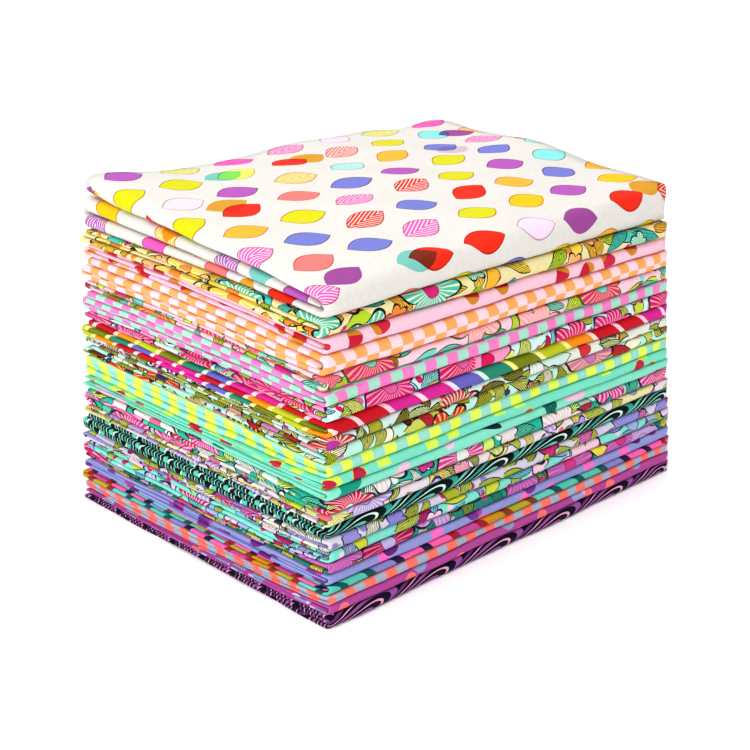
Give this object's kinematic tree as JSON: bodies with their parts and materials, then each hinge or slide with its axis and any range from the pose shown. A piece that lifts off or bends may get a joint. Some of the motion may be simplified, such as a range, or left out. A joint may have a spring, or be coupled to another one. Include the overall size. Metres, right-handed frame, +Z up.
{
  "type": "fabric bundle",
  "caption": "Stack of folded printed cotton cuts for patchwork, each folded in half and then in three, laid one on another with the round folds to the front.",
  "frame": {"origin": "centre of the bounding box on the plane that the stack stands on", "axes": "+X along the folded length towards the cut ends, +Y towards the back of the stack, +Z up"},
  "size_m": [0.239, 0.1835, 0.166],
  "materials": {
    "cloth_01_leaf_scatter": "printed plain-weave cotton, matte",
    "cloth_02_garden_floral": "printed plain-weave cotton, matte",
    "cloth_03_berry_spot": "printed plain-weave cotton, matte",
    "cloth_04_orange_check": "printed plain-weave cotton, matte",
    "cloth_05_pink_floral": "printed plain-weave cotton, matte",
    "cloth_06_pink_check": "printed plain-weave cotton, matte",
    "cloth_07_red_petal": "printed plain-weave cotton, matte",
    "cloth_08_bright_bars": "printed plain-weave cotton, matte",
    "cloth_09_mint_floral": "printed plain-weave cotton, matte",
    "cloth_10_amber_floral": "printed plain-weave cotton, matte",
    "cloth_11_lime_check": "printed plain-weave cotton, matte",
    "cloth_12_aqua_berry": "printed plain-weave cotton, matte",
    "cloth_13_mint_leaf": "printed plain-weave cotton, matte",
    "cloth_14_teal_floral": "printed plain-weave cotton, matte",
    "cloth_15_lime_floral": "printed plain-weave cotton, matte",
    "cloth_16_teal_wave": "printed plain-weave cotton, matte",
    "cloth_17_lavender_leaf": "printed plain-weave cotton, matte",
    "cloth_18_blue_floral": "printed plain-weave cotton, matte",
    "cloth_19_deep_teal_floral": "printed plain-weave cotton, matte",
    "cloth_20_periwinkle_spot": "printed plain-weave cotton, matte",
    "cloth_21_dusk_bars": "printed plain-weave cotton, matte",
    "cloth_22_coral_check": "printed plain-weave cotton, matte",
    "cloth_23_plum_spot": "printed plain-weave cotton, matte",
    "cloth_24_plum_wave": "printed plain-weave cotton, matte"
  },
  "bodies": {
    "root": {"cloth_01_leaf_scatter": "cloth_01_leaf_scatter", "cloth_02_garden_floral": "cloth_02_garden_floral", "cloth_03_berry_spot": "cloth_03_berry_spot", "cloth_04_orange_check": "cloth_04_orange_check", "cloth_05_pink_floral": "cloth_05_pink_floral", "cloth_06_pink_check": "cloth_06_pink_check", "cloth_07_red_petal": "cloth_07_red_petal", "cloth_08_bright_bars": "cloth_08_bright_bars", "cloth_09_mint_floral": "cloth_09_mint_floral", "cloth_10_amber_floral": "cloth_10_amber_floral", "cloth_11_lime_check": "cloth_11_lime_check", "cloth_12_aqua_berry": "cloth_12_aqua_berry", "cloth_13_mint_leaf": "cloth_13_mint_leaf", "cloth_14_teal_floral": "cloth_14_teal_floral", "cloth_15_lime_floral": "cloth_15_lime_floral", "cloth_16_teal_wave": "cloth_16_teal_wave", "cloth_17_lavender_leaf": "cloth_17_lavender_leaf", "cloth_18_blue_floral": "cloth_18_blue_floral", "cloth_19_deep_teal_floral": "cloth_19_deep_teal_floral", "cloth_20_periwinkle_spot": "cloth_20_periwinkle_spot", "cloth_21_dusk_bars": "cloth_21_dusk_bars", "cloth_22_coral_check": "cloth_22_coral_check", "cloth_23_plum_spot": "cloth_23_plum_spot", "cloth_24_plum_wave": "cloth_24_plum_wave"}
  },
  "joints": []
}
